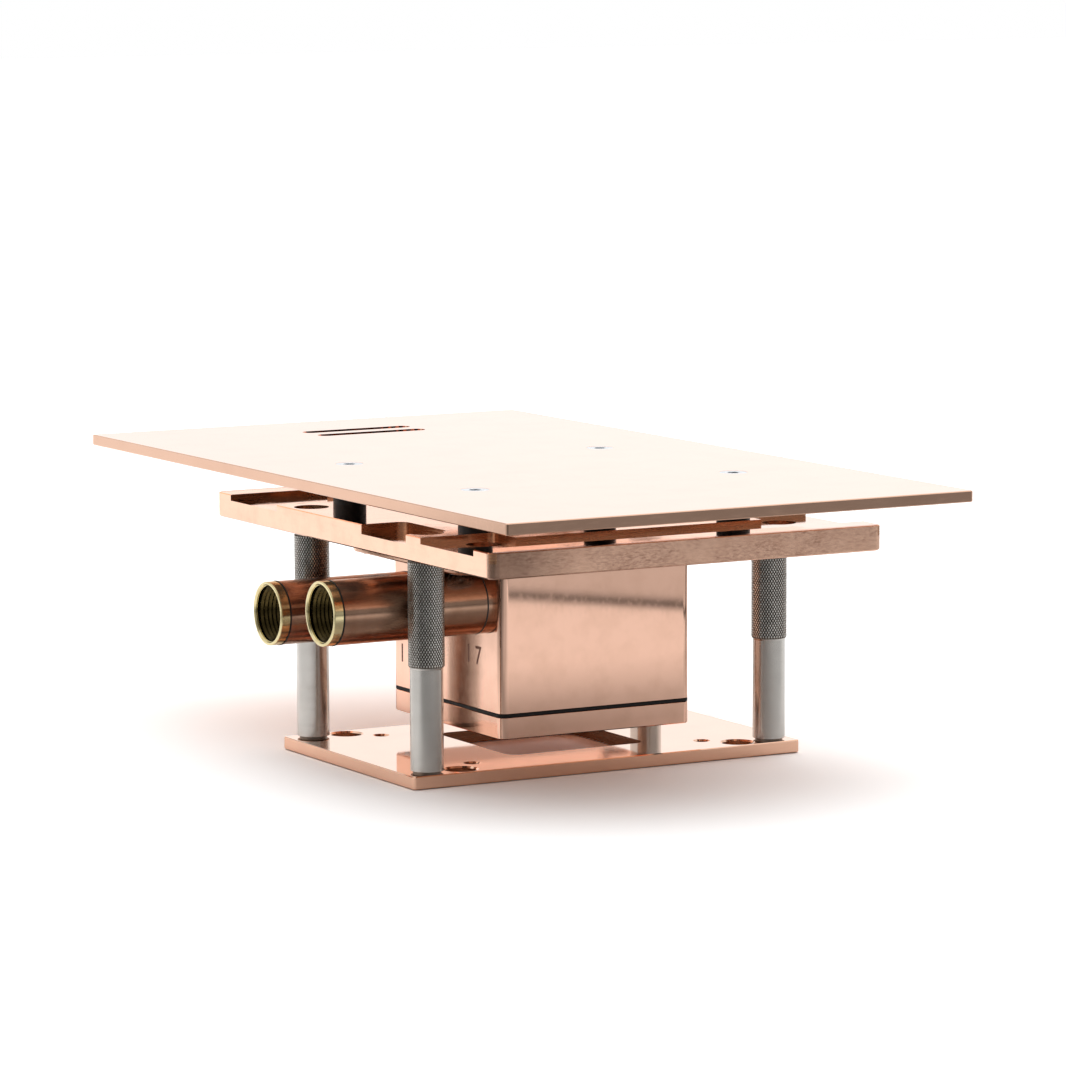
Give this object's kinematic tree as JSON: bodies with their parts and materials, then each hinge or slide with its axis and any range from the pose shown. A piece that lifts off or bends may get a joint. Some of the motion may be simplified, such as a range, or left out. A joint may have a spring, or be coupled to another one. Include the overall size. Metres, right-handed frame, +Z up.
{
  "type": "liquid cooling cold plate",
  "caption": "Copper liquid cooling cold plate block with threaded tube ports, hung from a bracket plate on pillars over a windowed base plate, under a wide top plate.",
  "frame": {"origin": "centre of the base plate's hole patterns at its underside", "axes": "+Z up, the tubes leave the block towards -X, the long side of the top plate runs along Y"},
  "size_m": [0.1541, 0.2585, 0.081],
  "materials": {
    "polished_copper": "mirror-polished copper",
    "satin_copper": "satin-machined copper",
    "tube_copper": "polished copper tube",
    "brass": "turned brass",
    "pillar_steel": "satin turned, diamond-knurled upper half",
    "black_plastic": "matt black",
    "black_rubber": "matt black",
    "grey_seal": "matt dark grey"
  },
  "bodies": {
    "root": {"base_plate": "polished_copper", "block_body": "satin_copper", "bracket_plate": "polished_copper", "cold_plate": "satin_copper", "flange_plate": "satin_copper", "gasket": "black_rubber", "inlet_collar": "tube_copper", "inlet_joint_ring": "grey_seal", "inlet_o_ring": "black_rubber", "inlet_threaded_end": "brass", "inlet_tube": "tube_copper", "outlet_collar": "tube_copper", "outlet_joint_ring": "grey_seal", "outlet_o_ring": "black_rubber", "outlet_threaded_end": "brass", "outlet_tube": "tube_copper", "pillar_back_left": "pillar_steel", "pillar_back_right": "pillar_steel", "pillar_front_left": "pillar_steel", "pillar_front_right": "pillar_steel", "spacer_back_left": "black_plastic", "spacer_back_right": "black_plastic", "spacer_front_left": "black_plastic", "spacer_front_right": "black_plastic", "top_plate": "polished_copper"}
  },
  "joints": []
}
